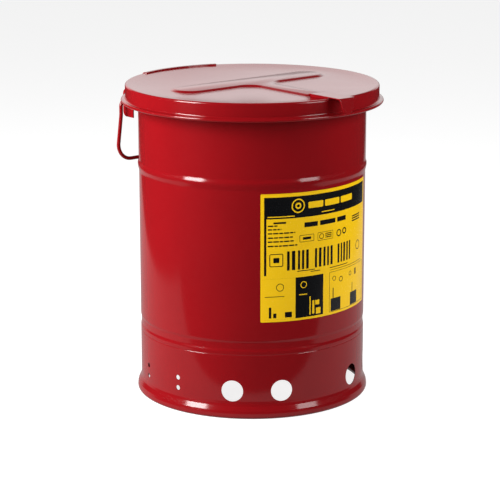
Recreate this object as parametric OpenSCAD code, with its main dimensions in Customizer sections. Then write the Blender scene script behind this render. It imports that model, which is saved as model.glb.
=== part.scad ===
// Hand-operated steel waste can with a self-closing lid.
// Millimetres. Origin: centre of the foot ring on the floor. +Z is up, the front faces -Y,
// and the hinge and the carrying handle are at the back, +Y.

/* [Can body] */
// Outside diameter of the straight wall
body_d = 291.5; // [220:0.5:400]
// Height of the rolled rim above the floor
body_h = 400.3; // [330:0.1:600]
// Thickness of the body sheet
body_t = 0.7; // [0.5:0.05:1]
// How much wider the wall is above the stiffening bead, on the radius
neck_out = 0.45; // [0:0.05:1]
// Outside diameter of the rolled rim
rim_curl_d = 6; // [4:0.1:8]

/* [Base] */
// How far the foot flares out past the wall
foot_out = 5.05; // [2:0.05:8]
// Height of the flare above the foot's roll
foot_flare_h = 18; // [12:0.5:19]
// Outside radius of the foot's roll
foot_curl_r = 4; // [3:0.1:4.5]
// Width of the flat that stands on the floor
foot_flat_w = 2; // [1:0.1:3]
// Height of the raised bottom's upper face
pan_h = 58; // [54:0.5:66]
// Height of the raised bottom's upturned flange
pan_flange_h = 24; // [12:0.5:26]
// Thickness of the raised bottom
pan_t = 0.7; // [0.5:0.05:1.2]
// Diameter of each air vent
vent_d = 27.5; // [15:0.5:29]
// Height of the vents' centres
vent_z = 35.5; // [34:0.5:38]
// Angle from the vents' middle line to the inner vents
vent_inner_a = 23; // [15:0.1:25]
// Angle from the vents' middle line to the outer vents
vent_outer_a = 47.6; // [40:0.1:55]
// Diameter of each bolt hole for a pedal bracket
pedal_hole_d = 6.2; // [4:0.1:8]
// Height of the lower pedal holes
pedal_hole_z = 29.9; // [28:0.1:32]
// Distance between a lower pedal hole and the one above it
pedal_hole_rise = 13.5; // [10:0.1:16]

/* [Stiffening beads] */
// Height of the outward bead's crest
bead_z = 300; // [250:1:320]
// How far the outward bead stands out from the wall
bead_out = 1.65; // [0.8:0.05:3]
// Height of the inward groove's middle
groove_z = 94; // [90:1:110]
// Depth of the inward groove
groove_in = 0.85; // [0.3:0.05:2]

/* [Lid] */
// Outside radius of the lid's skirt beyond the can's wall
skirt_out = 16.75; // [14:0.05:20]
// Thickness of the lid sheet
lid_t = 0.7; // [0.5:0.05:1]
// Depth of the lid from its rim to the underside of its hem
lid_drop = 22.85; // [20:0.05:26]
// How far the rim stands above the lid's flat middle
lid_rim_up = 1.5; // [0.5:0.1:3]
// Radius of the lid's top edge
lid_edge_r = 2.5; // [1.5:0.1:4]
// Diameter of the wire in the lid's hem
hem_wire_d = 2.7; // [2:0.1:3.2]

/* [Pressed T] */
// How far the pressed T stands above the lid's flat middle
pad_up = 2.6; // [1:0.1:4]
// Distance from each end of the T's cross bar to the lid's raised rim
bar_margin = 41; // [29:1:89]
// Distance from the lid's centre to the cross bar's front edge
bar_front = 16; // [5:1:30]
// Distance from the lid's centre to the cross bar's back edge
bar_back = 29; // [15:1:40]
// Half the width of the T's stem
stem_half_x = 14.5; // [13:0.5:20]
// Radius of the fillets between stem and cross bar
pad_fillet_r = 20; // [5:1:30]

/* [Lift tab] */
// Half the width of the lift tab
tab_half_x = 12.5; // [10:0.5:13]
// Thickness of the lift tab
tab_t = 1.2; // [0.8:0.1:2]
// Length of tab that lies on the T's stem
tab_lap = 2; // [1:0.5:4]
// How far the tab reaches out past the lid's hem
tab_reach = 12.1; // [10:0.1:14]
// How far the tab's lip hangs below its top
tab_drop = 19; // [14:0.5:21]
// Radius of the lip's rounded end
tab_tip_r = 10; // [6:0.5:10]
// How far the lip leans outwards
tab_tilt = 8; // [0:1:8]

/* [Hinge bracket] */
// Thickness of the bracket sheet
bracket_t = 1.5; // [1:0.1:2.5]
// Half the distance over the outside of the two ears
ear_half_x = 75; // [70:0.5:85]
// Height of the bracket's strip
strip_h = 23; // [20:0.5:26]
// Height of each ear
ear_h = 37; // [34:0.5:40]
// Half the width of the pad riveted to the wall
pad_half_x = 36; // [32:0.5:38]
// Shank diameter of the rivets
rivet_d = 4; // [3:0.1:5]

/* [Lid hinge] */
// Diameter of the hinge rod
rod_d = 5; // [4:0.1:6]
// Distance of the hinge rod behind the can's wall
rod_back = 20.25; // [19.5:0.05:22]
// Distance of the hinge rod below the rim of the can
rod_down = 26.3; // [25.5:0.1:28]
// Thickness of the lid's hinge plate
plate_t = 1.2; // [0.8:0.1:1.5]
// Half the width of the lid's hinge plate
plate_half_x = 60.9; // [42:0.1:63.5]
// Widest opening of the lid
lid_open_a = 60; // [45:1:65]

/* [Carrying handle] */
// Diameter of the handle's wire
handle_d = 5; // [4:0.1:6]
// Distance from the ears' outer faces to the middle of the handle's legs
leg_gap = 8; // [7:0.1:10]
// Angle by which the legs spread
leg_splay = 7.3; // [0:0.1:10]
// Distance from the handle's pivot down to its grip bar
handle_drop = 79; // [65:0.5:85]
// Centreline radius of the two lower corners
handle_corner_r = 20; // [10:0.5:25]

/* [Label] */
// Half the angle that the label covers round the wall
label_half_a = 36; // [20:0.5:42]
// Height of the label's lower edge
label_z = 125; // [110:1:140]
// Height of the label
label_h = 162.5; // [80:0.5:163]

/* [Hidden] */
$fn = 96;

// Clearances
wire_gap = 0.05;        // between a wire and the sheet rolled round it
paint_gap = 0.05;       // paint film between riveted, welded or stuck sheets
rivet_gap = 0.05;       // between a rivet's shank and its hole
rod_gap = 0.05;         // hinge rod in the ears and in its caps, on the radius
knuckle_gap = 0.08;     // hinge rod in the lid's knuckles, on the radius
eye_gap = 0.08;         // handle wire in the ears, on the radius
lid_gap = 0.3;          // between the closed lid and the can's rim
stop_gap = 0.25;        // between the stop tongues and the bracket with the lid wide open
side_gap = 0.7;         // between the end knuckles and the ears

arc_step = 12;          // largest turn between two points of a rounded profile
bead_steps = 8;         // points along each flank of a bead
over = 1;               // how far a cutter runs past what it cuts
bend_swell = 0.03;      // how much the handle's wire swells in its bends, on the radius
run_in = 0.3;           // how far a straight length of it runs into the bend after it

// Wall and base
wall_r = body_d / 2;
neck_r = wall_r + neck_out;
foot_r = wall_r + foot_out;
foot_top_z = foot_curl_r + foot_flare_h;
flare_a = 2 * atan(foot_out / foot_flare_h);
flare_r = foot_flare_h / (2 * sin(flare_a));
foot_end_a = 140;       // where the foot's roll ends, inside the base
crease_z = pan_h + pan_flange_h;
crease_in = 0.25;
crease_half = 1;
groove_half = 3;
groove_flank = 5;
bead_rise = 10;
bead_fall = 6;
rim_r = rim_curl_d / 2;
rim_end_a = -140;       // where the rim's curl ends, under the rim
rim_c = [neck_r - body_t + rim_r, body_h - rim_r];
pan_corner_r = 4;
pan_r = wall_r - body_t - paint_gap;
vent_axis_a = -2.3;     // the vents' middle line, seen from above, from the front towards +X
pedal_axis_a = -93.2;   // the pedal holes' middle line, on the can's left side
pedal_half_a = 13;

// Lid, closed
skirt_r = wall_r + skirt_out;
lid_base_z = body_h + lid_gap + lid_t;
lid_rim_z = lid_base_z + lid_rim_up;
hem_r = hem_wire_d / 2 + wire_gap + lid_t;
neck_bend_r = 2;
hem_shift = 1.3;        // how far the hem's centre lies outside the bend above it
hem_c = [skirt_r + neck_bend_r + hem_shift, lid_rim_z - lid_drop + hem_r];
hem_top_z = hem_c[1] + hem_r;
hem_end_a = -195;       // where the hem's curl ends, inside the lid
lid_flat_r = rim_c[0];
lid_rim_w = 1;          // flat ring just inside the lid's rounded edge
lid_rim_in = skirt_r - lid_edge_r - lid_rim_w;
pad_z = lid_base_z + pad_up;
bar_half_x = lid_rim_in - bar_margin;
bar_round = 0.48;       // the bar's corner radius as a share of its width
bar_corner_r = bar_round * (bar_front + bar_back);
tab_y = hem_c[0] + hem_r + tab_reach;
tab_strap_len = 55;     // from the stem's end to the lip's face
stem_end = tab_y - tab_strap_len;
tab_bend_r = 2.4;
tab_low_z = pad_z + paint_gap;
tab_top_z = tab_low_z + tab_t;
tab_side_y = stem_end + over / 2;   // where the strap's sides start, past the stem

// Hinge rod, lid plate and bracket
shelf_gap = 1.85;       // between the lid's hem and the plate's shelf
plate_lap = 2;          // how far the plate reaches over the lid's top, inside the rim
knuckle_up = 6;         // from the rod to where the leaf turns into its knuckles
knuckle_inset = 1.3;    // between the leaf's side and its outer knuckle
strip_down = 20;        // from the rod down to the bracket strip's lower edge
ear_down = 30;          // from the rod down to the ears' lower edge
ear_out = 10.5;         // from the rod back to the ears' rear edge
wing_in = 11.9;         // from the rod forward to the bracket's wings
wing_run = 10;          // width over which the strip leaves the wall
rod_stub = 3.5;         // how far the rod runs past the ears
rod_y = wall_r + rod_back;
rod_z = body_h - rod_down;
rod_r = rod_d / 2;
knuckle_r = rod_r + knuckle_gap;
leaf_y = rod_y + knuckle_r;
shelf_z = hem_top_z + shelf_gap;
plate_r = skirt_r + paint_gap;
plate_half_a = asin(plate_half_x / plate_r);
plate_in_r = lid_rim_in - plate_lap;
knuckle_low_z = rod_z + knuckle_up;
tongue_inset = 0.9;     // between the leaf's side and its tongue
tongue_w = 13;
knuckle_space = 3;      // between a tongue and the inner knuckle beside it
knuckle_mid = 14;       // from the plate's middle to an inner knuckle
tongue_x = [plate_half_x - tongue_inset - tongue_w, plate_half_x - tongue_inset];
inner_knuckle_x = [knuckle_mid, tongue_x[0] - knuckle_space];
outer_knuckle_x = [plate_half_x + knuckle_inset, ear_half_x - bracket_t - side_gap];
knuckle_mouth_a = 60;
strip_z = rod_z - strip_down;
ear_z = rod_z - ear_down;
wing_y = rod_y - wing_in;
wing_x = pad_half_x + wing_run;
ear_back_y = rod_y + ear_out;
ear_corner_r = 7;
tongue_reach = ((rod_y - wing_y - bracket_t - stop_gap) + knuckle_r * cos(lid_open_a)) / sin(lid_open_a);
rod_end_x = ear_half_x + rod_stub;
cap_r = 4.3;
cap_h = 2.2;

// Rivets: positions round the can, from the back towards +X
bracket_rivet_inset = 10.1;     // from the pad's side
bracket_rivet_a = asin((pad_half_x - bracket_rivet_inset) / neck_r);
rivet_row = [6, 17];    // the two rows above the strip's lower edge
bracket_rivet_z = [strip_z + rivet_row[0], strip_z + rivet_row[1]];
plate_rivet_inset = 10.7;       // from the plate's side to its outer rivet
plate_rivet_part = 0.394;       // the inner rivet's place, as a share of the way to the outer one
plate_rivet_x = (plate_half_x - plate_rivet_inset) * [plate_rivet_part, 1];
plate_rivet_a = [for (x = plate_rivet_x) asin(x / skirt_r)];
plate_rivet_up = 8.5;   // above the plate's shelf
plate_rivet_z = shelf_z + plate_rivet_up;
head_w = 1.9;           // a rivet's head and tail, in shank diameters: widths, then heights
tail_w = 1.5;
head_up = 0.4;
tail_up = 0.3;
head_r = head_w * rivet_d / 2;
head_h = head_up * rivet_d;
tail_r = tail_w * rivet_d / 2;
tail_h = tail_up * rivet_d;

// Handle
eye_back = 4.4;         // the wire's eye, behind and below the rod
eye_down = 8;
eye_run = 0.5;          // straight wire between the ear and its first bend
eye_tail = 6.5;         // wire left inside the ear
splay_down = 16;        // from the eye to where the legs start to splay
handle_r = handle_d / 2;
eye_y = rod_y + eye_back;
eye_z = rod_z - eye_down;
leg_x = ear_half_x + leg_gap;
eye_bend_r = leg_gap - eye_run;
eye_end_x = ear_half_x - bracket_t - eye_tail;
splay_bend_r = 40;
splay_z = eye_z - splay_down;
splay_start = [leg_x + splay_bend_r * (1 - cos(leg_splay)), splay_z - splay_bend_r * sin(leg_splay)];
grip_z = eye_z - handle_drop;
leg_len = (splay_start[1] - grip_z - handle_corner_r * (1 + sin(leg_splay))) / cos(leg_splay);
leg_end = splay_start + leg_len * [sin(leg_splay), -cos(leg_splay)];
corner_c = [leg_end[0] - handle_corner_r * cos(leg_splay), grip_z + handle_corner_r];

label_t = 0.2;
label_yellow = [0.93, 0.75, 0.12];

paint = [0.62, 0.07, 0.09];
steel = [0.72, 0.73, 0.75];

// ---- profiles -------------------------------------------------------------------------

// Points on a circle round c, from angle a0 to a1
function arc(c, r, a0, a1) =
    let (n = ceil(abs(a1 - a0) / arc_step))
    [for (i = [0:n]) let (a = a0 + (a1 - a0) * i / n) c + r * [cos(a), sin(a)]];

function ease(u) = (1 - cos(180 * u)) / 2;

// A smooth change of radius between two heights
function flank(z0, z1, r0, r1) =
    [for (i = [0:bead_steps]) let (u = i / bead_steps) [r0 + (r1 - r0) * ease(u), z0 + (z1 - z0) * u]];

function reversed(v) = [for (i = [len(v) - 1:-1:0]) v[i]];

// The body sheet's surface, s inside its outer face, from the foot's roll up to the rim's curl
function foot_path(s) = concat(
    arc([foot_r - foot_curl_r - foot_flat_w, foot_curl_r], foot_curl_r - s, foot_end_a, 270),
    arc([foot_r - foot_curl_r, foot_curl_r], foot_curl_r - s, 270, 360),
    arc([foot_r - flare_r, foot_curl_r], flare_r - s, 0, flare_a),
    arc([wall_r + flare_r, foot_top_z], flare_r + s, 180 + flare_a, 180));

function wall_path(s) = concat(
    flank(crease_z - crease_half, crease_z, wall_r - s, wall_r - crease_in - s),
    flank(crease_z, crease_z + crease_half, wall_r - crease_in - s, wall_r - s),
    flank(groove_z - groove_half - groove_flank, groove_z - groove_half, wall_r - s, wall_r - groove_in - s),
    flank(groove_z + groove_half, groove_z + groove_half + groove_flank, wall_r - groove_in - s, wall_r - s),
    flank(bead_z - bead_rise, bead_z, wall_r - s, wall_r + bead_out - s),
    flank(bead_z, bead_z + bead_fall, wall_r + bead_out - s, neck_r - s));

function body_path(s) = concat(
    foot_path(s), wall_path(s), arc(rim_c, rim_r - body_t + s, 180, rim_end_a));

// The lid sheet's surface, s inside its outer face: top and edge, then skirt and hem
function lid_top_path(s) = concat(
    [[0, lid_base_z - s], [lid_flat_r, lid_base_z - s], [lid_rim_in, lid_rim_z - s]],
    arc([skirt_r - lid_edge_r, lid_rim_z - lid_edge_r], lid_edge_r - s, 90, 0));

function lid_path(s) = concat(
    lid_top_path(s),
    arc([skirt_r + neck_bend_r, hem_top_z + neck_bend_r], neck_bend_r + s, 180, 270),
    arc(hem_c, hem_r - s, 90, hem_end_a));

// ---- helpers --------------------------------------------------------------------------

// Children stand on the wall's radius r at height z; their +Z points away from the can's axis.
// The angle a runs from the front, -Y, towards +X.
module on_wall(a, r, z) rotate([0, 0, a - 90]) translate([r, 0, z]) rotate([0, 90, 0]) children();

// Children are drawn in Y and Z, and run from x0 to x1
module across(x0, x1) translate([x0, 0, 0]) rotate([90, 0, 90]) linear_extrude(x1 - x0) children();

module both_sides() { children(); mirror([1, 0, 0]) children(); }

// A flat strip of sheet along a line of points, with its bends rounded
module strip(points, t) {
    for (i = [0:len(points) - 2]) {
        run = points[i + 1] - points[i];
        translate(points[i]) rotate(atan2(run[1], run[0])) translate([0, -t / 2]) square([norm(run), t]);
        translate(points[i + 1]) circle(d = t);
    }
    translate(points[0]) circle(d = t);
}

module rounded_square(low, high, r) {
    translate(low + [r, 0]) square([high[0] - low[0] - 2 * r, high[1] - low[1]]);
    translate(low + [0, r]) square([high[0] - low[0], high[1] - low[1] - 2 * r]);
    for (x = [low[0] + r, high[0] - r], y = [low[1] + r, high[1] - r]) translate([x, y]) circle(r);
}

// A rivet standing on the outer face, with its head up and grip millimetres of sheet below
module rivet(grip) {
    ball_r = (head_r * head_r + head_h * head_h) / (2 * head_h);
    rotate_extrude() {
        intersection() {
            translate([0, head_h - ball_r]) circle(ball_r);
            square([head_r, head_h]);
        }
        translate([0, -grip]) square([rivet_d / 2, grip]);
        translate([0, -grip - tail_h]) square([tail_r - tail_h / 2, tail_h]);
        translate([0, -grip - tail_h / 2]) square([tail_r, tail_h / 2]);
        translate([tail_r - tail_h / 2, -grip - tail_h / 2]) circle(tail_h / 2);
    }
}

// ---- can body -------------------------------------------------------------------------

function vent_angles() =
    [for (side = [0, 180], a = [-vent_outer_a, -vent_inner_a, vent_inner_a, vent_outer_a]) vent_axis_a + side + a];

module body_shell() color(paint) difference() {
    rotate_extrude() polygon(concat(body_path(0), reversed(body_path(body_t))));
    for (a = vent_angles()) on_wall(a, wall_r - body_t - over, vent_z) cylinder(d = vent_d, h = body_t + 2 * over);
    for (a = [-pedal_half_a, pedal_half_a], rise = [0, pedal_hole_rise])
        on_wall(pedal_axis_a + a, wall_r - body_t - over, pedal_hole_z + rise)
            cylinder(d = pedal_hole_d, h = body_t + 2 * over);
    for (a = [-bracket_rivet_a, bracket_rivet_a], z = bracket_rivet_z)
        on_wall(180 + a, neck_r - body_t - over, z) cylinder(r = rivet_d / 2 + rivet_gap, h = body_t + 2 * over);
}

module rim_wire() color(steel)
    rotate_extrude() translate(rim_c) circle(rim_r - body_t - wire_gap);

// A dish with an upturned flange, seam-welded inside the wall above the vents
module bottom_pan() color(paint) {
    corner = [pan_r - pan_corner_r, pan_h - pan_t + pan_corner_r];
    rotate_extrude() polygon(concat(
        [[0, pan_h - pan_t]], arc(corner, pan_corner_r, 270, 360), [[pan_r, crease_z - crease_half]],
        [[pan_r - pan_t, crease_z - crease_half]], arc(corner, pan_corner_r - pan_t, 360, 270), [[0, pan_h]]));
}

module label() color(label_yellow)
    rotate([0, 0, -90 - label_half_a]) rotate_extrude(angle = 2 * label_half_a)
        translate([wall_r + paint_gap, label_z]) square([label_t, label_h]);

// ---- hinge bracket, rod and rivets ----------------------------------------------------

// The strip follows the wall, leaves it on both sides and ends at the ears
module bracket_strip() {
    in_r = neck_r + paint_gap;
    mid_r = in_r + bracket_t / 2;
    pad_y = sqrt(mid_r * mid_r - pad_half_x * pad_half_x);
    intersection() {
        difference() { circle(in_r + bracket_t); circle(in_r); }
        polygon([[0, 0], [pad_half_x, pad_y] * 2, [-pad_half_x, pad_y] * 2 ]);
    }
    both_sides() strip([[pad_half_x, pad_y], [wing_x, wing_y + bracket_t / 2],
                        [ear_half_x - bracket_t / 2, wing_y + bracket_t / 2]], bracket_t);
}

module hinge_bracket() color(paint) difference() {
    union() {
        translate([0, 0, strip_z]) linear_extrude(strip_h) bracket_strip();
        both_sides() across(ear_half_x - bracket_t, ear_half_x) {
            rounded_square([wing_y + bracket_t / 2, ear_z], [ear_back_y, ear_z + ear_h], ear_corner_r);
            translate([wing_y + bracket_t / 2, ear_z]) square([ear_corner_r, ear_h - ear_corner_r]);
        }
    }
    across(-ear_half_x - over, ear_half_x + over) {
        translate([rod_y, rod_z]) circle(rod_r + rod_gap);
        translate([eye_y, eye_z]) circle(handle_r + eye_gap);
    }
    for (a = [-bracket_rivet_a, bracket_rivet_a], z = bracket_rivet_z)
        on_wall(180 + a, neck_r, z) cylinder(r = rivet_d / 2 + rivet_gap, h = bracket_t + 2 * over);
}

module bracket_rivet(side, level) color(paint)
    on_wall(180 + side * bracket_rivet_a, neck_r + paint_gap + bracket_t, bracket_rivet_z[level])
        rivet(body_t + 2 * paint_gap + bracket_t);

module hinge_rod() color(steel)
    across(-rod_end_x, rod_end_x) translate([rod_y, rod_z]) circle(rod_r);

module rod_cap() color(steel)
    across(ear_half_x + rod_gap, ear_half_x + rod_gap + cap_h) translate([rod_y, rod_z])
        difference() { circle(cap_r); circle(rod_r + rod_gap / 2); }

// ---- lid ------------------------------------------------------------------------------

// The T seen from above, drawn inset by the given amount
module pad_outline(inset) {
    rounded_square([-bar_half_x + inset, -bar_front + inset], [bar_half_x - inset, bar_back - inset],
                   bar_corner_r - inset);
    translate([-stem_half_x + inset, -stem_end + inset])
        square([2 * (stem_half_x - inset), stem_end]);
    both_sides() difference() {
        translate([stem_half_x - inset, -bar_front - pad_fillet_r])
            square([pad_fillet_r + inset, pad_fillet_r + inset]);
        translate([stem_half_x + pad_fillet_r, -bar_front - pad_fillet_r]) circle(pad_fillet_r + inset);
    }
}

module lid_shell() color(paint) difference() {
    union() {
        rotate_extrude() polygon(concat(lid_path(0), reversed(lid_path(lid_t))));
        translate([0, 0, lid_base_z - lid_t]) linear_extrude(pad_up + lid_t) pad_outline(0);
    }
    translate([0, 0, lid_base_z - lid_t - over]) linear_extrude(pad_up + over) pad_outline(lid_t);
    for (a = plate_rivet_a, side = [-1, 1])
        on_wall(180 + side * a, skirt_r - lid_t - over, plate_rivet_z)
            cylinder(r = rivet_d / 2 + rivet_gap, h = lid_t + 2 * over);
}

module hem_wire() color(steel)
    rotate_extrude() translate(hem_c) circle(hem_wire_d / 2);

// One pressing: a flange on the rim, an apron down the skirt, a shelf over the hem,
// and a leaf with knuckles that are rolled round the rod and tongues that stop the lid
module lid_hinge_plate() color(paint) {
    apron_r = plate_r + plate_t;
    difference() {
        rotate([0, 0, 90 - plate_half_a]) rotate_extrude(angle = 2 * plate_half_a) intersection() {
            polygon(concat(lid_top_path(-paint_gap - plate_t), [[apron_r, shelf_z]],
                           [[plate_r, shelf_z]], reversed(lid_top_path(-paint_gap))));
            translate([plate_in_r, shelf_z]) square([apron_r, lid_drop]);
        }
        for (a = plate_rivet_a, side = [-1, 1])
            on_wall(180 + side * a, skirt_r, plate_rivet_z)
                cylinder(r = rivet_d / 2 + rivet_gap, h = plate_t + 2 * over);
    }
    translate([0, 0, shelf_z]) linear_extrude(plate_t) difference() {
        translate([-plate_half_x, 0]) square([2 * plate_half_x, leaf_y + plate_t]);
        circle(apron_r - plate_t / 2);
    }
    across(-plate_half_x, plate_half_x) translate([leaf_y, knuckle_low_z])
        square([plate_t, shelf_z + plate_t - knuckle_low_z]);
    both_sides() {
        across(plate_half_x, outer_knuckle_x[1]) translate([leaf_y, knuckle_low_z - plate_t])
            square([plate_t, 3 * plate_t]);
        across(tongue_x[0], tongue_x[1]) translate([leaf_y, rod_z - tongue_reach])
            square([plate_t, knuckle_low_z - rod_z + tongue_reach + plate_t]);
        knuckle(inner_knuckle_x);
        knuckle(outer_knuckle_x);
    }
}

module knuckle(x) across(x[0], x[1]) {
    translate([leaf_y, rod_z]) square([plate_t, knuckle_low_z - rod_z + plate_t]);
    translate([rod_y, rod_z]) difference() {
        circle(knuckle_r + plate_t);
        circle(knuckle_r);
        polygon([[0, 0], [3 * knuckle_r, 0], 3 * knuckle_r * [cos(knuckle_mouth_a), sin(knuckle_mouth_a)]]);
    }
}

module plate_rivet(side, step) color(paint)
    on_wall(180 + side * plate_rivet_a[step], plate_r + plate_t, plate_rivet_z)
        rivet(lid_t + 2 * paint_gap + plate_t);

// A strap spot-welded to the T's stem, bent down in front of the lid into a rounded lip
// The strap and lip's face, s inside it, from the stem out to the lip's lower end
function tab_path(s) = let (
        c = [tab_bend_r - tab_y, tab_top_z - tab_bend_r], out = [-cos(tab_tilt), sin(tab_tilt)],
        run = (tab_drop - tab_bend_r * (1 - sin(tab_tilt))) / cos(tab_tilt))
    concat([[tab_lap - stem_end, tab_top_z - s]], arc(c, tab_bend_r - s, 90, 180 - tab_tilt),
           [c + (tab_bend_r - s) * out + run * [-sin(tab_tilt), -cos(tab_tilt)]]);

// A shallow channel welded over the stem's end, its front bent down into a round lip
module lift_tab() color(paint) {
    tip_z = tab_top_z - tab_drop + tab_tip_r;
    lip_z = tab_top_z - tab_bend_r;
    intersection() {
        across(-tab_half_x, tab_half_x) polygon(concat(tab_path(0), reversed(tab_path(tab_t))));
        translate([0, -stem_end + tab_lap + over, 0]) rotate([90, 0, 0]) linear_extrude(tab_y) {
            polygon([[-tab_half_x - over, tab_top_z + over], [-tab_half_x - over, lip_z], [-tab_half_x, lip_z],
                     [-tab_tip_r, tip_z], [tab_tip_r, tip_z], [tab_half_x, lip_z], [tab_half_x + over, lip_z],
                     [tab_half_x + over, tab_top_z + over]]);
            translate([0, tip_z]) circle(tab_tip_r);
        }
    }
    both_sides() across(tab_half_x - tab_t, tab_half_x)
        polygon([[-tab_side_y, tab_low_z + tab_t / 2], [-tab_side_y, lid_base_z + paint_gap],
                 [over - lid_flat_r, lid_base_z + paint_gap], [over - lid_rim_in, lid_rim_z + paint_gap],
                 [over - lid_rim_in, tab_low_z + tab_t / 2]]);
}

// ---- carrying handle ------------------------------------------------------------------

// The handle lies in one plane, drawn here in X and height
module wire_run(from, to) translate(from) rotate(atan2(to[1] - from[1], to[0] - from[0]))
    translate([-run_in, 0, 0]) rotate([0, 90, 0]) cylinder(r = handle_r, h = norm(to - from) + 2 * run_in);

module wire_bend(c, r, a0, a1) translate(c) rotate(a0) rotate_extrude(angle = a1 - a0)
    translate([r, 0]) circle(handle_r + bend_swell);

module carry_handle() color(paint) translate([0, eye_y, 0]) rotate([90, 0, 0]) {
    both_sides() {
        wire_run([eye_end_x, eye_z], [leg_x - eye_bend_r, eye_z]);
        wire_bend([leg_x - eye_bend_r, eye_z - eye_bend_r], eye_bend_r, 0, 90);
        wire_run([leg_x, eye_z - eye_bend_r], [leg_x, splay_z]);
        wire_bend([leg_x + splay_bend_r, splay_z], splay_bend_r, 180, 180 + leg_splay);
        wire_run(splay_start, leg_end);
        wire_bend(corner_c, handle_corner_r, -90, leg_splay);
    }
    wire_run([-corner_c[0], grip_z], [corner_c[0], grip_z]);
}

body_shell();
rim_wire();
bottom_pan();
label();
hinge_bracket();
bracket_rivet(-1, 0);  // bracket_rivet_1
bracket_rivet(-1, 1);  // bracket_rivet_2
bracket_rivet(1, 0);  // bracket_rivet_3
bracket_rivet(1, 1);  // bracket_rivet_4
hinge_rod();
mirror([1, 0, 0]) rod_cap();  // rod_cap_left
rod_cap();  // rod_cap_right
lid_shell();
hem_wire();
lid_hinge_plate();
plate_rivet(-1, 1);  // plate_rivet_1
plate_rivet(-1, 0);  // plate_rivet_2
plate_rivet(1, 0);  // plate_rivet_3
plate_rivet(1, 1);  // plate_rivet_4
lift_tab();
carry_handle();
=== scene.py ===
import math
import random
import bpy
import bmesh
from mathutils import Matrix, Vector


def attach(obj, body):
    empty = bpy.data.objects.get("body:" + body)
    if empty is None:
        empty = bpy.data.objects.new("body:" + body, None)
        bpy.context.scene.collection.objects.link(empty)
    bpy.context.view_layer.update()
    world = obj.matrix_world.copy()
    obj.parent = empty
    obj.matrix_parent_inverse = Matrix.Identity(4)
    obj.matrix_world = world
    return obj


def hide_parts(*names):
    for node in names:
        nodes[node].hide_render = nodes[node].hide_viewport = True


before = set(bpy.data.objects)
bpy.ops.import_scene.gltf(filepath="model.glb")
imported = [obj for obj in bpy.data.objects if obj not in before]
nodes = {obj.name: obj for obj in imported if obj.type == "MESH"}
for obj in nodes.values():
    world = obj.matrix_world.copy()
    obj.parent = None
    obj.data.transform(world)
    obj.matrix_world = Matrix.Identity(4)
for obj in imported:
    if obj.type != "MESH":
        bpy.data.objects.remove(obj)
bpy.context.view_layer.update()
mm = 0.001
random.seed(6)
print("frame loaded:", len(nodes), "CAD nodes")


def linearColour(hexText):                # sRGB hex to linear RGBA
    parts = [int(hexText[i:i + 2], 16) / 255 for i in (1, 3, 5)]
    return [c / 12.92 if c <= 0.04045 else ((c + 0.055) / 1.055) ** 2.4 for c in parts] + [1.0]


def addNode(tree, kind, sockets=None, **settings):
    node = tree.nodes.new(kind)
    for key, value in settings.items():
        setattr(node, key, value)
    for key, value in (sockets or {}).items():
        if isinstance(value, bpy.types.NodeSocket):
            tree.links.new(value, node.inputs[key])
        else:
            node.inputs[key].default_value = value
    return node


def newMaterial(name):
    material = bpy.data.materials.new(name)
    material.use_nodes = True
    material.node_tree.nodes.clear()
    return material, material.node_tree


def noiseOf(tree, place, sizeMm, detail): # a noise whose pattern is sizeMm across
    return addNode(tree, "ShaderNodeTexNoise", {"Vector": place, "Scale": 1 / (sizeMm * mm), "Detail": detail})


def spreadOver(tree, value, low, high):   # a 0 to 1 value spread from low to high
    return addNode(tree, "ShaderNodeMapRange", {"Value": value, "To Min": low, "To Max": high}).outputs["Result"]


def finishPiece(bm, name, body, material, replaced=(), modifiers=(), sharpAt=35):
    # turns a bmesh in mm into a finished piece in metres, its modifiers applied
    bmesh.ops.scale(bm, vec=(mm, mm, mm), verts=bm.verts)
    mesh = bpy.data.meshes.new(name)
    bm.to_mesh(mesh)
    bm.free()
    piece = bpy.data.objects.new(name, mesh)
    bpy.context.scene.collection.objects.link(piece)
    for kind, settings in modifiers:
        modifier = piece.modifiers.new(kind.title(), kind)
        for key, value in settings.items():
            setattr(modifier, key, value)
    if modifiers:
        graph = bpy.context.evaluated_depsgraph_get()
        piece.data = bpy.data.meshes.new_from_object(piece.evaluated_get(graph))
        piece.data.name = name
        piece.modifiers.clear()
    piece.data.shade_smooth()
    piece.data.set_sharp_from_angle(angle=math.radians(sharpAt))
    piece.data.materials.clear()
    piece.data.materials.append(material)
    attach(piece, body)
    if replaced:
        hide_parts(*replaced)
    print("made", name, len(piece.data.polygons), "faces")
    return piece


def arcPoints(centre, radius, start, end, steps):
    turns = [math.radians(start + (end - start) * i / steps) for i in range(steps + 1)]
    return [(centre[0] + radius * math.cos(a), centre[1] + radius * math.sin(a)) for a in turns]


def drawChain(bm, points):                # an open chain of edges through (x, z) points
    verts = [bm.verts.new((p[0], 0, p[1])) for p in points]
    return verts, [bm.edges.new(pair) for pair in zip(verts, verts[1:])]


def spinRound(bm, verts, edges, steps):
    return bmesh.ops.spin(bm, geom=verts + edges, cent=(0, 0, 0), axis=(0, 0, 1), dvec=(0, 0, 0),
                          angle=math.tau, steps=steps, use_merge=True)


enamelLook = {
    "colour": "#850c12",                  # a deep signal red, seen flat
    "darker": "#7b0a10",
    "roughness": (0.10, 0.15),            # a baked gloss: lamps show with clean edges
    "cloudMm": 70,                        # slow drift of tone from the spray passes
    "peelMm": 2.2,                        # orange peel, drawn a little coarse so that it shows
    "peelDepthMm": 0.012,
    "peelStrength": 0.4,
    "ior": 1.5,
}


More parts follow.
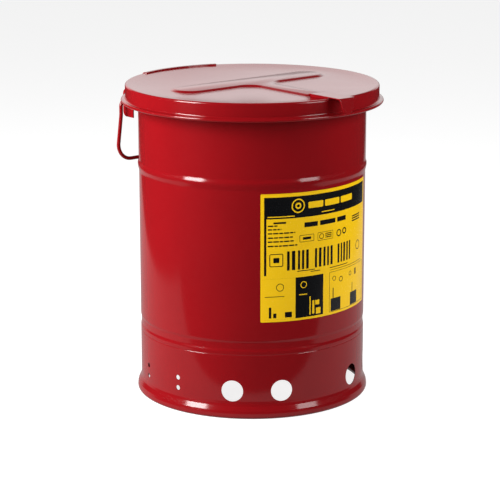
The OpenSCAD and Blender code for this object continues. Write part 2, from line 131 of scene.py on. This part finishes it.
def glossEnamel():                        # sprayed and baked enamel over pressed steel: deep colour, wet gloss
    material, tree = newMaterial("bakedGlossEnamelRed")
    place = addNode(tree, "ShaderNodeTexCoord").outputs["Object"]
    cloud = noiseOf(tree, place, enamelLook["cloudMm"], 3.0).outputs["Fac"]
    tone = addNode(tree, "ShaderNodeMix", {"Factor": cloud, 6: linearColour(enamelLook["colour"]),
                                           7: linearColour(enamelLook["darker"])}, data_type="RGBA")
    peel = noiseOf(tree, place, enamelLook["peelMm"], 1.0).outputs["Fac"]
    skin = addNode(tree, "ShaderNodeBump", {"Height": peel, "Strength": enamelLook["peelStrength"],
                                            "Distance": enamelLook["peelDepthMm"] * mm})
    shader = addNode(tree, "ShaderNodeBsdfPrincipled", {
        "Base Color": tone.outputs[2], "Roughness": spreadOver(tree, cloud, *enamelLook["roughness"]),
        "IOR": enamelLook["ior"], "Normal": skin.outputs["Normal"]})
    addNode(tree, "ShaderNodeOutputMaterial", {"Surface": shader.outputs["BSDF"]})
    return material


steelLook = {"colour": "#b9bbbe", "roughness": (0.22, 0.42), "grainMm": 2.0}


def drawnSteel():                         # cold-drawn bright wire: pale metal with fine lengthwise dulling
    material, tree = newMaterial("drawnSteelWire")
    place = addNode(tree, "ShaderNodeTexCoord").outputs["Object"]
    grain = noiseOf(tree, place, steelLook["grainMm"], 4.0).outputs["Fac"]
    shader = addNode(tree, "ShaderNodeBsdfPrincipled", {
        "Base Color": linearColour(steelLook["colour"]), "Metallic": 1.0,
        "Roughness": spreadOver(tree, grain, *steelLook["roughness"])})
    addNode(tree, "ShaderNodeOutputMaterial", {"Surface": shader.outputs["BSDF"]})
    return material


vinylLook = {"yellow": "#f0c000", "black": "#0b0c0e", "roughness": (0.22, 0.30), "fleckMm": 1.5,
             "fleck": (0.96, 1.04), "ior": 1.48}


def printedVinyl(name, colour):           # printed polyester film: even colour, a little flatter than the enamel
    material, tree = newMaterial(name)
    place = addNode(tree, "ShaderNodeTexCoord").outputs["Object"]
    fleck = noiseOf(tree, place, vinylLook["fleckMm"], 2.0).outputs["Fac"]
    tint = addNode(tree, "ShaderNodeHueSaturation", {
        "Color": linearColour(colour), "Value": spreadOver(tree, fleck, *vinylLook["fleck"])})
    shader = addNode(tree, "ShaderNodeBsdfPrincipled", {
        "Base Color": tint.outputs["Color"], "Roughness": spreadOver(tree, fleck, *vinylLook["roughness"]),
        "IOR": vinylLook["ior"]})
    addNode(tree, "ShaderNodeOutputMaterial", {"Surface": shader.outputs["BSDF"]})
    return material


enamel = glossEnamel()
steel = drawnSteel()
yellowFilm = printedVinyl("printedVinylYellow", vinylLook["yellow"])
blackInk = printedVinyl("printedInkBlack", vinylLook["black"])

steelNodes = {"rim_wire", "hem_wire", "hinge_rod", "rod_cap_left", "rod_cap_right"}
for name, node in nodes.items():          # every CAD node that stays gets its real finish
    finish = steel if name in steelNodes else enamel
    if not node.material_slots:
        node.data.materials.append(finish)
    for slot in node.material_slots:
        slot.material = finish
print("finishes on CAD nodes")


lidSize = {                               # one pressed sheet, spun, with the T raised in its flat middle
    "flatR": 148.5, "baseZ": 401.3, "rimInR": 159.0, "rimZ": 402.8, "edgeR": 2.5, "skirtR": 162.5,
    "neckR": 2.0, "hemCentre": (165.8, 382.05), "hemR": 2.1, "hemEnd": -195, "sheet": 0.7, "steps": 240,
    "barX": 121.5, "barFront": -19.6, "barBack": 32.6, "stemX": 18.0, "stemEnd": -128.5, "padUp": 2.6,
    "flankRun": 7.2, "flankSteps": 10, "flankRound": 0.45, "barCorner": 25.4, "inCorner": 16.4, "stemCorner": 9.0,
    "cornerSteps": 14, "bendSteps": 8, "hemSteps": 24, "merge": 0.001,
}


def buildLid():
    s = lidSize
    bm = bmesh.new()
    chain = [(s["flatR"], s["baseZ"]), (s["rimInR"], s["rimZ"])]
    chain += arcPoints((s["skirtR"] - s["edgeR"], s["rimZ"] - s["edgeR"]), s["edgeR"], 90, 0,
                       s["bendSteps"])
    hemTop = s["hemCentre"][1] + s["hemR"]
    chain += arcPoints((s["skirtR"] + s["neckR"], hemTop + s["neckR"]), s["neckR"], 180, 270, s["bendSteps"])
    chain += arcPoints(s["hemCentre"], s["hemR"], 90, s["hemEnd"], s["hemSteps"])[1:]
    verts, edges = drawChain(bm, chain)
    spinRound(bm, verts, edges, s["steps"])
    innerLoop = [e for e in bm.edges if e.is_boundary and e.verts[0].co.xy.length < s["flatR"] + 0.5]
    outline = [(-s["barX"], s["barBack"]), (-s["barX"], s["barFront"]), (-s["stemX"], s["barFront"]),
               (-s["stemX"], s["stemEnd"]), (s["stemX"], s["stemEnd"]), (s["stemX"], s["barFront"]),
               (s["barX"], s["barFront"]), (s["barX"], s["barBack"])]
    tee = bm.faces.new([bm.verts.new((x, y, s["baseZ"])) for x, y in outline])
    half = [s["barCorner"]] * 2 + [s["inCorner"], s["stemCorner"]]
    radii = half + half[::-1]             # the outline's corners, the same on both sides
    for vert, radius in zip(list(tee.verts), radii):
        bmesh.ops.bevel(bm, geom=[vert], affect="VERTICES", offset=radius, segments=s["cornerSteps"],
                        profile=0.5, material=-1)
    tee = max(bm.faces, key=lambda f: len(f.verts))     # the only face with more than four corners
    if tee.normal.z < 0:
        tee.normal_flip()
    teeLoop = list(tee.edges)
    risen = 0.0
    for i in range(1, s["flankSteps"] + 1):       # the flank climbs, a little rounded, to the T's top
        along = i / s["flankSteps"]
        curved = (1 - math.cos(math.pi * along)) / 2
        level = s["padUp"] * (s["flankRound"] * curved + (1 - s["flankRound"]) * along)
        bmesh.ops.inset_region(bm, faces=[tee], thickness=s["flankRun"] / s["flankSteps"], depth=level - risen,
                               use_even_offset=True, use_boundary=True)
        risen = level
    bmesh.ops.triangle_fill(bm, edges=innerLoop + teeLoop, use_beauty=True, use_dissolve=False)
    bmesh.ops.remove_doubles(bm, verts=bm.verts, dist=s["merge"])
    bmesh.ops.recalc_face_normals(bm, faces=bm.faces)
    top = max(bm.faces, key=lambda f: f.calc_center_median().z)
    if top.normal.z < 0:
        bmesh.ops.reverse_faces(bm, faces=bm.faces)
    return finishPiece(bm, "lidSheet", "lid", enamel, ["lid_shell"],
                       [("SOLIDIFY", {"thickness": s["sheet"] * mm, "offset": -1.0, "use_even_offset": True})])


buildLid()


tabSize = {                               # a strap past the T's stem that turns down into a round lip
    "halfX": 12.5, "tipR": 10.0, "topZ": 405.15, "lapY": -123.0, "faceY": -180.0, "bendR": 2.4, "tipZ": 386.15,
    "lean": 8.0, "sheet": 1.2, "columns": 16, "edge": 0.3, "sideLowZ": 401.35, "sideRimZ": 402.85,
    "sideStart": -125.5, "sideBend": -147.5, "sideEnd": -158.0, "strapRows": 10, "lipRows": 5, "tipRows": 10,
    "tipHalf": 1.2,
}


def buildTab():
    s = tabSize
    bm = bmesh.new()
    tipTop = s["tipZ"] + s["tipR"]
    lipTop = s["topZ"] - s["bendR"]
    strap = s["faceY"] + s["bendR"] - s["lapY"]
    rows = [(s["lapY"] + strap * i / s["strapRows"], s["topZ"], s["halfX"]) for i in range(s["strapRows"])]
    bend = arcPoints((s["faceY"] + s["bendR"], lipTop), s["bendR"], 90, 180 - s["lean"], 8)
    rows += [(y, z, s["halfX"]) for y, z in bend]
    bendY, bendZ = bend[-1]
    slope = math.tan(math.radians(s["lean"]))
    for i in range(1, s["lipRows"]):
        along = i / s["lipRows"]
        z = bendZ + (tipTop - bendZ) * along
        rows.append((bendY - (bendZ - z) * slope, z, s["halfX"] + (s["tipR"] - s["halfX"]) * along))
    for i in range(s["tipRows"] + 1):
        turn = math.pi / 2 * i / s["tipRows"]
        z = tipTop - s["tipR"] * math.sin(turn)
        rows.append((bendY - (bendZ - z) * slope, z, max(s["tipR"] * math.cos(turn), s["tipHalf"])))
    verts = [bm.verts.new((-s["halfX"], y, z)) for y, z, half in rows]
    last = [bm.edges.new(pair) for pair in zip(verts, verts[1:])]
    for _ in range(s["columns"]):
        made = bmesh.ops.extrude_edge_only(bm, edges=last)["geom"]
        last = [g for g in made if isinstance(g, bmesh.types.BMEdge) and g.is_boundary and len(g.link_faces) == 1
                and all(v in made for v in g.verts)]
        bmesh.ops.translate(bm, verts=[g for g in made if isinstance(g, bmesh.types.BMVert)],
                            vec=(2 * s["halfX"] / s["columns"], 0, 0))
    for v in bm.verts:                    # narrows the lip row by row to its round tip
        row = min(rows, key=lambda r: abs(r[0] - v.co.y) + abs(r[1] - v.co.z))
        v.co.x *= row[2] / s["halfX"]
    bmesh.ops.recalc_face_normals(bm, faces=bm.faces)
    top = max(bm.faces, key=lambda f: f.calc_center_median().z)
    if top.normal.z < 0:
        bmesh.ops.reverse_faces(bm, faces=bm.faces)
    return finishPiece(bm, "liftTab", "lid", enamel, ["lift_tab"], [
        ("SOLIDIFY", {"thickness": s["sheet"] * mm, "offset": -1.0, "use_even_offset": True}),
        ("BEVEL", {"width": s["edge"] * mm, "segments": 3, "limit_method": "ANGLE",
                   "angle_limit": math.radians(50), "harden_normals": False})])


def buildTabSides():                      # the strap's two short sides, folded down onto the lid
    s = tabSize
    bm = bmesh.new()
    underZ = s["topZ"] - s["sheet"] / 2
    outline = [(s["sideStart"], underZ), (s["sideStart"], s["sideLowZ"]), (s["sideBend"], s["sideLowZ"]),
               (s["sideEnd"], s["sideRimZ"]), (s["sideEnd"], underZ)]
    for x in (-s["halfX"], s["halfX"] - s["sheet"]):
        face = bm.faces.new([bm.verts.new((x, y, z)) for y, z in outline])
        grown = bmesh.ops.extrude_face_region(bm, geom=[face])["geom"]
        verts = [g for g in grown if isinstance(g, bmesh.types.BMVert)]
        bmesh.ops.translate(bm, vec=(s["sheet"], 0, 0), verts=verts)
    bmesh.ops.recalc_face_normals(bm, faces=bm.faces)
    return finishPiece(bm, "liftTabSides", "lid", enamel, (), [
        ("BEVEL", {"width": s["edge"] * mm, "segments": 2, "limit_method": "ANGLE",
                   "angle_limit": math.radians(40)})])


buildTab()
buildTabSides()


handleSize = {                            # one bent wire, hooked into the bracket's ears
    "wireR": 2.5, "planeY": 170.4, "eyeZ": 366.0, "endX": 67.0, "eyeBendR": 7.5, "legX": 83.0, "splayZ": 350.0,
    "splayR": 40.0, "splay": 7.3, "cornerR": 20.0, "gripZ": 287.0, "roundSteps": 24,
    "eyeRun": 0.6, "bendSteps": 12, "splaySteps": 4, "cornerSteps": 18, "endEdge": 0.5,
}


def buildHandle():
    s = handleSize
    splay = math.radians(s["splay"])
    half = [(s["endX"], s["eyeZ"]), (s["endX"] + s["eyeRun"], s["eyeZ"])]
    half += arcPoints((s["legX"] - s["eyeBendR"], s["eyeZ"] - s["eyeBendR"]), s["eyeBendR"], 90, 0,
                      s["bendSteps"])
    half += arcPoints((s["legX"] + s["splayR"], s["splayZ"]), s["splayR"], 180, 180 + s["splay"], s["splaySteps"])
    startX, startZ = half[-1]
    run = (startZ - s["gripZ"] - s["cornerR"] * (1 + math.sin(splay))) / math.cos(splay)
    endX, endZ = startX + run * math.sin(splay), startZ - run * math.cos(splay)
    cornerX = endX - s["cornerR"] * math.cos(splay)
    half += arcPoints((cornerX, s["gripZ"] + s["cornerR"]), s["cornerR"], s["splay"], -90, s["cornerSteps"])
    path = half + [(-x, z) for x, z in reversed(half)]
    bm = bmesh.new()
    ring = bmesh.ops.create_circle(bm, cap_ends=True, radius=s["wireR"], segments=s["roundSteps"],
                                   matrix=Matrix.Translation((path[0][0], s["planeY"], path[0][1]))
                                   @ Matrix.Rotation(math.radians(90), 4, "Y"))
    face = next(iter(ring["verts"][0].link_faces))
    for i in range(1, len(path)):         # the round end face is drawn along the bent path
        grown = bmesh.ops.extrude_face_region(bm, geom=[face])["geom"]
        verts = [g for g in grown if isinstance(g, bmesh.types.BMVert)]
        newFace = next(g for g in grown if isinstance(g, bmesh.types.BMFace))
        if i > 1:
            bm.faces.remove(face)
        before, here = Vector((*path[i - 1], 0)), Vector((*path[i], 0))
        after = Vector((*path[min(i + 1, len(path) - 1)], 0))
        tangent = ((here - before).normalized() + (after - here).normalized()).normalized()
        earlier = Vector((*path[max(i - 2, 0)], 0))
        old = ((before - earlier).normalized() + (here - before).normalized()).normalized()
        turn = math.atan2(tangent.x * old.y - tangent.y * old.x, tangent.dot(old))
        spot = Matrix.Translation((path[i][0], s["planeY"], path[i][1]))
        back = Matrix.Translation((-path[i - 1][0], -s["planeY"], -path[i - 1][1]))
        bmesh.ops.transform(bm, matrix=spot @ Matrix.Rotation(turn, 4, "Y") @ back, verts=verts)
        face = newFace
    bmesh.ops.recalc_face_normals(bm, faces=bm.faces)
    ends = [e for e in bm.edges if len(e.link_faces) == 2 and
            e.link_faces[0].normal.angle(e.link_faces[1].normal) > math.radians(60)]
    bmesh.ops.bevel(bm, geom=ends, affect="EDGES", offset=s["endEdge"], segments=3, profile=0.5, material=-1)
    return finishPiece(bm, "carryHandle", "handle", enamel, ["carry_handle"])


buildHandle()


def addBar(bm, u0, v0, u1, v1, corner=0.0, hollow=0.0):
    face = bm.faces.new([bm.verts.new((u, 0, v)) for u, v in ((u0, v0), (u1, v0), (u1, v1), (u0, v1))])
    if corner:
        fresh = bmesh.ops.bevel(bm, geom=list(face.verts), affect="VERTICES", offset=corner, segments=4,
                                profile=0.5, material=-1)
        face = max(fresh["verts"][0].link_faces, key=lambda f: f.calc_area())
    if hollow:
        bmesh.ops.inset_region(bm, faces=[face], thickness=hollow, use_even_offset=True, use_boundary=True)
        bm.faces.remove(face)


def addRing(bm, u, v, radius, line):
    upright = Matrix.Translation((u, 0, v)) @ Matrix.Rotation(math.radians(90), 4, "X")
    ring = bmesh.ops.create_circle(bm, cap_ends=True, radius=radius, segments=40, matrix=upright)
    face = next(iter(ring["verts"][0].link_faces))
    bmesh.ops.inset_region(bm, faces=[face], thickness=line, use_even_offset=True, use_boundary=True)
    bm.faces.remove(face)


labelSize = {                             # a printed film; its marks are in mm from its lower left corner
    "radius": 145.8, "film": 0.2, "ink": 0.05, "left": -36.0, "right": 36.0, "lowZ": 125.0, "highZ": 287.5,
    "corner": 1.5, "column": 5.0, "inset": 4.4, "bandLow": 131, "tailLow": 59.5, "tailWide": 2.8,
    "rowStart": 9.0, "rowTall": 1.7, "wordWide": (3.0, 8.0), "wordGap": 1.1,
    "rows": ((121.5, 12), (117, 17), (112, 35), (106.5, 32), (101.5, 33), (96, 38)),
    "middle": (                           # heading bars, small frames and rings
        (addBar, 16, 124.7, 32, 127.0), (addBar, 56.5, 118, 76, 124, 0.8), (addBar, 79.5, 118, 105, 124, 0.8),
        (addBar, 108.5, 118, 126, 124, 0.8), (addBar, 50, 99.5, 70.5, 108.5, 1.0, 0.6),
        (addBar, 54.5, 102.4, 66, 105.6), (addBar, 76, 98.5, 101, 109, 0.6, 0.5), (addRing, 82, 103.7, 3.6, 0.9),
        (addBar, 88, 101, 98.5, 102.2), (addBar, 88, 103.3, 98.5, 104.5), (addBar, 88, 105.6, 98.5, 106.8),
        (addRing, 112, 103.5, 4.6, 1.5), (addRing, 123, 104.5, 4.2, 1.8), (addBar, 141, 112.5, 164, 114.1),
        (addBar, 141, 115.5, 164, 117.1), (addBar, 141, 118.5, 164, 120.1)),
    "tallStart": 33.5, "tallLow": 65, "tallHigh": 89.5, "tallInked": 0.62, "tallGap": 0.9, "groupGap": 6.0,
    "tallCorner": 0.5,
    "tall": ((5.4, 7.2, 4.6, 5.0, 5.8), (5.2, 6.2, 5.2, 4.8, 6.0), (5.4, 4.4, 5.8, 5.2, 4.8)),
    "panelRight": 0.6,
    "lower": (                            # two thin frames, a dark panel and plain blocks
        (addRing, 159, 79, 6.2, 1.1), (addBar, 11, 70.5, 28.5, 87.0, 2.0, 1.0), (addBar, 16, 75.5, 23.5, 82.0, 1.0),
        (addBar, 47, 62.5, 72, 63.6), (addBar, 66, 60.2, 80, 61.2), (addBar, 96, 60.6, 131, 61.6),
        (addBar, 96, 57.6, 171, 58.2), (addBar, 4.6, 3.0, 44.4, 55.2, 0.0, 0.5), (addBar, 44.9, 3.0, 85.2, 55.2),
        (addBar, 95.4, 3.0, None, 55.2, 1.5, 0.5), (addRing, 24.6, 44, 5.0, 0.8), (addBar, 10.5, 5, 13.5, 19),
        (addBar, 16, 5, 20, 11), (addBar, 31, 5, 40, 12), (addBar, 5.2, 32, 30, 32.8), (addBar, 98, 4, 116.5, 20.5),
        (addBar, 138.5, 4, 157, 20.5), (addBar, 101.5, 20.5, 103, 34), (addBar, 143, 20.5, 144.4, 33),
        (addRing, 104, 46, 3.2, 0.8), (addRing, 117, 43, 3.6, 1.0), (addRing, 138, 46, 3.0, 0.8),
        (addBar, 150, 42, 154, 50)),
    "light": (                            # what the dark areas leave yellow, printed over them
        (addRing, 48, 146, 9.0, 1.6), (addRing, 48, 146, 4.0, 2.0), (addBar, 62, 141.5, 84, 149.5, 1.2),
        (addBar, 87, 141.5, 112, 149.5, 1.2), (addBar, 115, 141.5, 140, 149.5, 1.2), (addBar, 8.5, 133, 43, 134.2),
        (addBar, 82, 134.2, 103, 135.4), (addBar, 50, 32, 61, 33.2), (addBar, 64.5, 5, 66, 29),
        (addBar, 68.5, 6, 71.5, 23), (addBar, 74, 5, 81, 13), (addBar, 73, 17, 79, 23), (addRing, 56, 45, 4.4, 1.0)),
}
labelMmPerDegree = math.radians(1) * (labelSize["radius"] + labelSize["film"])


def wrapOnCan(bm, radius):                # cuts the flat print into narrow columns, then bends it round the wall
    width = (labelSize["right"] - labelSize["left"]) * labelMmPerDegree
    columns = int(width / labelSize["column"])
    for i in range(1, columns):
        bmesh.ops.bisect_plane(bm, geom=bm.verts[:] + bm.edges[:] + bm.faces[:], dist=0.0001,
                               plane_co=(width * i / columns, 0, 0), plane_no=(1, 0, 0))
    for v in bm.verts:
        around = math.radians(labelSize["left"] + v.co.x / labelMmPerDegree)
        height = labelSize["lowZ"] + v.co.z
        v.co = Vector((radius * math.sin(around), -radius * math.cos(around), height))
    bmesh.ops.recalc_face_normals(bm, faces=bm.faces)
    for f in bm.faces:                    # every face of the print looks outwards
        if f.normal.dot(Vector((*f.calc_center_median().xy, 0))) < 0:
            f.normal_flip()


def printLayer(bm, name, material, radius, thickness, replaced=()):
    wrapOnCan(bm, radius)
    finishPiece(bm, name, "body", material, replaced,
                [("SOLIDIFY", {"thickness": thickness * mm, "offset": -1.0})])


def buildLabel():
    s = labelSize
    width = (s["right"] - s["left"]) * labelMmPerDegree
    tall = s["highZ"] - s["lowZ"]
    film = bmesh.new()
    addBar(film, 0, 0, width, tall, s["corner"])
    printLayer(film, "labelFilm", yellowFilm, s["radius"] + s["film"], s["film"], ["label"])
    left, right = s["inset"], width - s["inset"]
    ink = bmesh.new()
    addBar(ink, left, s["bandLow"], right, tall - s["inset"])                       # head band
    addBar(ink, left, s["tailLow"], left + s["tailWide"], s["bandLow"])             # its tail down the side
    for v, length in s["rows"]:           # short rows of dashes
        u, end = s["rowStart"], s["rowStart"] + length
        while u < end:
            word = random.uniform(*s["wordWide"])
            addBar(ink, u, v, min(u + word, end), v + s["rowTall"])
            u += word + s["wordGap"]
    for draw, *sizes in s["middle"]:
        draw(ink, *sizes)
    u = s["tallStart"]
    for group in s["tall"]:               # tall plain bars
        for wide in group:
            addBar(ink, u, s["tallLow"], u + wide * s["tallInked"], s["tallHigh"], s["tallCorner"])
            u += wide + s["tallGap"]
        u += s["groupGap"]
    for draw, *sizes in s["lower"]:       # a side left open runs to the print's right edge
        draw(ink, *[right - s["panelRight"] if size is None else size for size in sizes])
    printLayer(ink, "labelPrint", blackInk, s["radius"] + s["film"] + s["ink"], s["ink"])
    light = bmesh.new()
    for draw, *sizes in s["light"]:
        draw(light, *sizes)
    printLayer(light, "labelReversedPrint", yellowFilm, s["radius"] + s["film"] + 2 * s["ink"], s["ink"])


buildLabel()


studio = {                                # floor, soft light and camera
    "viewTurn": -40.0, "distance": 2.535, "height": 0.8052, "pitch": 13.811, "lens": 144.17, "shift": -0.0044,
    "floorGlow": 0.85, "floorBounce": 0.12, "sheetGlow": 0.42, "sheetFront": 0.25, "sheetHalf": 0.75, "sheetBack": 2.2,
    "floorHalf": 30.0, "floorDrop": 0.0004, "sheetDrop": 0.0008, "floorTone": 0.35, "paperRough": 0.9,
    "lampAway": 1.6, "lampHeight": 0.95, "lampTall": 1.1, "aimHeight": 0.25,
    "lamps": (                            # name, turn, width, watts, seen in the gloss
        ("keySoftbox", -58, 0.62, 42, True), ("sideSoftbox", -88, 0.8, 32, False),
        ("fillSoftbox", 57, 0.6, 12, True), ("farFillSoftbox", 90, 0.8, 18, False)),
    "wallSide": (0.72, 0.92), "wallFoot": (-0.10, 0.15), "wallGlow": 1.15, "roomGlow": 0.03,
}


def around(turn, distance, height):       # a place seen from the can's axis, turn counted from the viewer's side
    a = math.radians(studio["viewTurn"] + turn)
    return Vector((math.sin(a) * distance, -math.cos(a) * distance, height))


def stageSheet(name, halfX, frontY, backY, z, albedo, glow, glossyOnly):
    bm = bmesh.new()
    corners = ((-halfX, frontY), (halfX, frontY), (halfX, backY), (-halfX, backY))
    bm.faces.new([bm.verts.new((x, y, z)) for x, y in corners])
    mesh = bpy.data.meshes.new(name)
    bm.to_mesh(mesh)
    bm.free()
    sheet = bpy.data.objects.new(name, mesh)
    bpy.context.scene.collection.objects.link(sheet)
    sheet.rotation_euler = (0, 0, math.radians(studio["viewTurn"]))
    material, tree = newMaterial(name + "Paper")
    path = addNode(tree, "ShaderNodeLightPath")
    bounce = glow if glossyOnly else studio["floorBounce"]
    shine = addNode(tree, "ShaderNodeMix", {0: path.outputs["Is Camera Ray"], 2: bounce, 3: glow})
    shader = addNode(tree, "ShaderNodeBsdfPrincipled", {
        "Base Color": (albedo, albedo, albedo, 1), "Roughness": studio["paperRough"],
        "Specular IOR Level": 0.0,
        "Emission Color": (1, 1, 1, 1), "Emission Strength": shine.outputs[0]})
    addNode(tree, "ShaderNodeOutputMaterial", {"Surface": shader.outputs["BSDF"]})
    mesh.materials.append(material)
    sheet.visible_glossy = glossyOnly
    if glossyOnly:
        sheet.visible_camera = sheet.visible_diffuse = sheet.visible_shadow = False


stageSheet("paleFloor", studio["floorHalf"], -studio["floorHalf"], studio["floorHalf"], -studio["floorDrop"],
           studio["floorTone"], studio["floorGlow"], False)
stageSheet("whiteSheet", studio["sheetHalf"], -studio["sheetFront"], studio["sheetBack"], -studio["sheetDrop"],
           0.0, studio["sheetGlow"], True)


for name, turn, wide, power, mirrored in studio["lamps"]:
    data = bpy.data.lights.new(name, "AREA")
    data.shape = "RECTANGLE"
    data.size, data.size_y, data.energy = wide, studio["lampTall"], power
    lamp = bpy.data.objects.new(name, data)
    bpy.context.scene.collection.objects.link(lamp)
    lamp.location = around(turn, studio["lampAway"], studio["lampHeight"])
    aim = Vector((0, 0, studio["aimHeight"])) - lamp.location
    lamp.rotation_euler = aim.to_track_quat("-Z", "Y").to_euler()
    lamp.visible_glossy = mirrored

world = bpy.data.worlds.new("studioRoom")
bpy.context.scene.world = world
world.use_nodes = True
tree = world.node_tree
tree.nodes.clear()
look = addNode(tree, "ShaderNodeTexCoord").outputs["Generated"]
away = around(180, 1.0, 0.0)
facing = addNode(tree, "ShaderNodeVectorMath", {0: look, 1: away}, operation="DOT_PRODUCT")
near, far = studio["wallSide"]            # the pale wall behind the can, as its gloss sees it
behind = addNode(tree, "ShaderNodeMapRange", {"Value": facing.outputs["Value"], "From Min": near, "From Max": far},
                 interpolation_type="SMOOTHSTEP")
split = addNode(tree, "ShaderNodeSeparateXYZ", {"Vector": look})
low, high = studio["wallFoot"]
above = addNode(tree, "ShaderNodeMapRange", {"Value": split.outputs["Z"], "From Min": low, "From Max": high},
                interpolation_type="SMOOTHSTEP")
sweep = addNode(tree, "ShaderNodeMath", {0: behind.outputs["Result"], 1: above.outputs["Result"]},
                operation="MULTIPLY")
room = addNode(tree, "ShaderNodeMath", {0: sweep.outputs["Value"], 1: studio["wallGlow"], 2: studio["roomGlow"]},
               operation="MULTIPLY_ADD")
path = addNode(tree, "ShaderNodeLightPath")
seen = addNode(tree, "ShaderNodeMix", {0: path.outputs["Is Camera Ray"], 2: room.outputs["Value"], 3: 1.0})
back = addNode(tree, "ShaderNodeBackground", {"Color": (1, 1, 1, 1), "Strength": seen.outputs[0]})
addNode(tree, "ShaderNodeOutputWorld", {"Surface": back.outputs["Background"]})

camera = bpy.data.objects.new("studioCamera", bpy.data.cameras.new("studioCamera"))
bpy.context.scene.collection.objects.link(camera)
camera.data.sensor_width = 36.0
camera.data.lens = studio["lens"]
camera.data.shift_x = studio["shift"]
camera.data.clip_end = 200.0
camera.location = around(0, studio["distance"], studio["height"])
camera.rotation_euler = (math.radians(90 - studio["pitch"]), 0, math.radians(studio["viewTurn"]))
bpy.context.scene.camera = camera
bpy.context.scene.view_settings.view_transform = "Standard"
print("studio ready")
